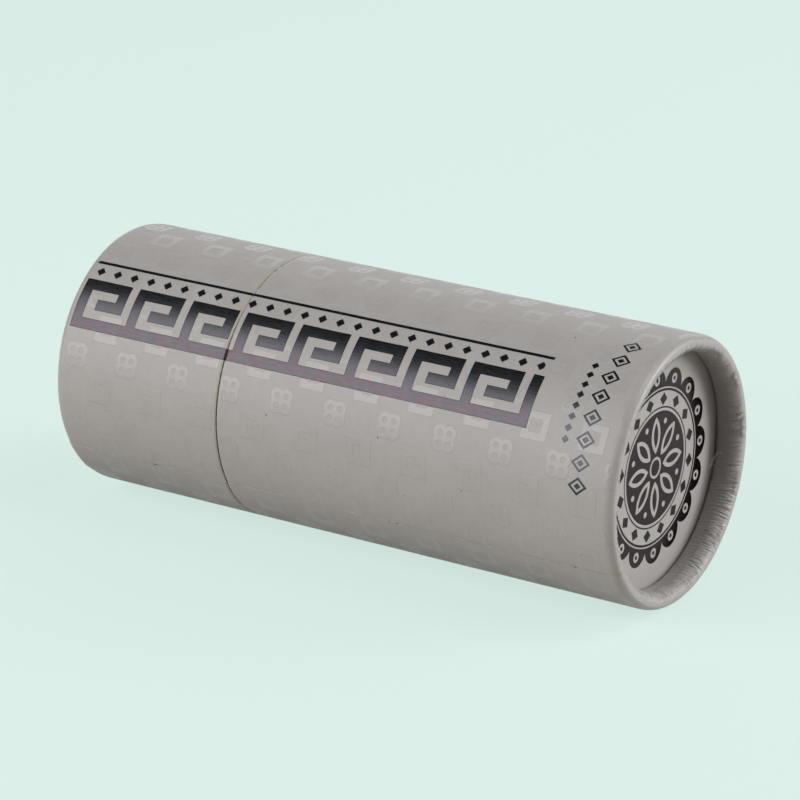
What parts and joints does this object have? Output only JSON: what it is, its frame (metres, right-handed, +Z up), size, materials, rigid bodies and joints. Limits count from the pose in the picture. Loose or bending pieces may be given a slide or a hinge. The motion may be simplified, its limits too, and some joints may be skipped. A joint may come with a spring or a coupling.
{
  "type": "cylindrical gift tube box",
  "caption": "Round paperboard gift tube lying on its side, with rolled rims, recessed end discs, and a short lid that slides off a neck tube fixed in the longer base.",
  "frame": {"origin": "on the surface that the tube lies on, under the middle of its length; the tube's axis is 25 mm above it", "axes": "+X along the tube's axis towards the base's closed end, +Z up, and -Y towards the front that the picture shows"},
  "size_m": [0.1206, 0.05, 0.05],
  "materials": {
    "printed_wrap_paper": "satin laminate",
    "printed_disc_paper": "satin laminate",
    "tube_board": "raw greyboard",
    "disc_board": "raw greyboard",
    "neck_board": "raw greyboard",
    "neck_paper": "uncoated",
    "lining_paper": "uncoated"
  },
  "bodies": {
    "base": {"base_tube": "tube_board", "base_wrap": "printed_wrap_paper", "base_disc": "disc_board", "base_disc_face": "printed_disc_paper", "base_disc_lining": "lining_paper", "neck_tube": "neck_board", "neck_cover": "neck_paper", "neck_lining": "lining_paper"},
    "lid": {"lid_tube": "tube_board", "lid_wrap": "printed_wrap_paper", "lid_disc": "disc_board", "lid_disc_face": "printed_disc_paper", "lid_disc_lining": "lining_paper"}
  },
  "joints": [
    {"name": "lid_slide", "type": "slide", "parent": "base", "child": "lid", "axis": [-1, 0, 0], "range_m": [0, 0.06]}
  ]
}
